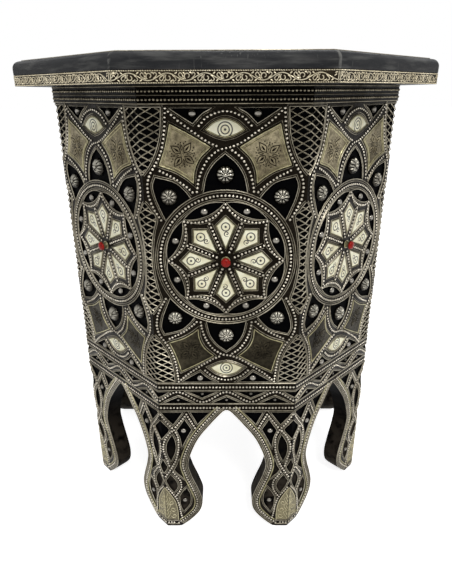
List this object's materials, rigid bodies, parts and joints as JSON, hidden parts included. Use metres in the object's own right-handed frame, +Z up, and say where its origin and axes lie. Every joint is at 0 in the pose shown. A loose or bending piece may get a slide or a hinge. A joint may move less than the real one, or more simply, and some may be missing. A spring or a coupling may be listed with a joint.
{
  "type": "moroccan kursi stool",
  "caption": "Octagonal stool table with arched legs, a thick black top, and pierced metal strapwork with bone and coral inlay on its sides.",
  "frame": {"origin": "on the floor, in the middle of the eight feet", "axes": "+Z up, one of the eight sides faces -Y"},
  "size_m": [0.4402, 0.4402, 0.547],
  "materials": {
    "ebony_wood": "satin black lacquer on wood",
    "carcass_wood": "dark stained raw wood",
    "strap_metal": "aged nickel silver, embossed and beaded",
    "rim_metal": "aged nickel silver with brighter raised scrolls",
    "bone": "polished bone with dark engraved lines",
    "coral": "polished red coral paste",
    "screw_steel": "plain steel"
  },
  "bodies": {
    "root": {"top_board": "ebony_wood", "rim_band": "rim_metal", "upper_ring_frame": "carcass_wood", "lower_ring_frame": "carcass_wood", "top_screw_1": "screw_steel", "top_screw_2": "screw_steel", "top_screw_3": "screw_steel", "top_screw_4": "screw_steel", "crown_band": "strap_metal", "side_board_1": "ebony_wood", "strapwork_1": "strap_metal", "bone_rosette_1": "bone", "upper_eye_1": "bone", "lower_eye_1": "bone", "coral_bead_1": "coral", "side_board_2": "ebony_wood", "strapwork_2": "strap_metal", "bone_rosette_2": "bone", "upper_eye_2": "bone", "lower_eye_2": "bone", "coral_bead_2": "coral", "side_board_3": "ebony_wood", "strapwork_3": "strap_metal", "bone_rosette_3": "bone", "upper_eye_3": "bone", "lower_eye_3": "bone", "coral_bead_3": "coral", "side_board_4": "ebony_wood", "strapwork_4": "strap_metal", "bone_rosette_4": "bone", "upper_eye_4": "bone", "lower_eye_4": "bone", "coral_bead_4": "coral", "side_board_5": "ebony_wood", "strapwork_5": "strap_metal", "bone_rosette_5": "bone", "upper_eye_5": "bone", "lower_eye_5": "bone", "coral_bead_5": "coral", "side_board_6": "ebony_wood", "strapwork_6": "strap_metal", "bone_rosette_6": "bone", "upper_eye_6": "bone", "lower_eye_6": "bone", "coral_bead_6": "coral", "side_board_7": "ebony_wood", "strapwork_7": "strap_metal", "bone_rosette_7": "bone", "upper_eye_7": "bone", "lower_eye_7": "bone", "coral_bead_7": "coral", "side_board_8": "ebony_wood", "strapwork_8": "strap_metal", "bone_rosette_8": "bone", "upper_eye_8": "bone", "lower_eye_8": "bone", "coral_bead_8": "coral", "top_sheet": "strap_metal", "top_rosette": "bone"}
  },
  "joints": []
}
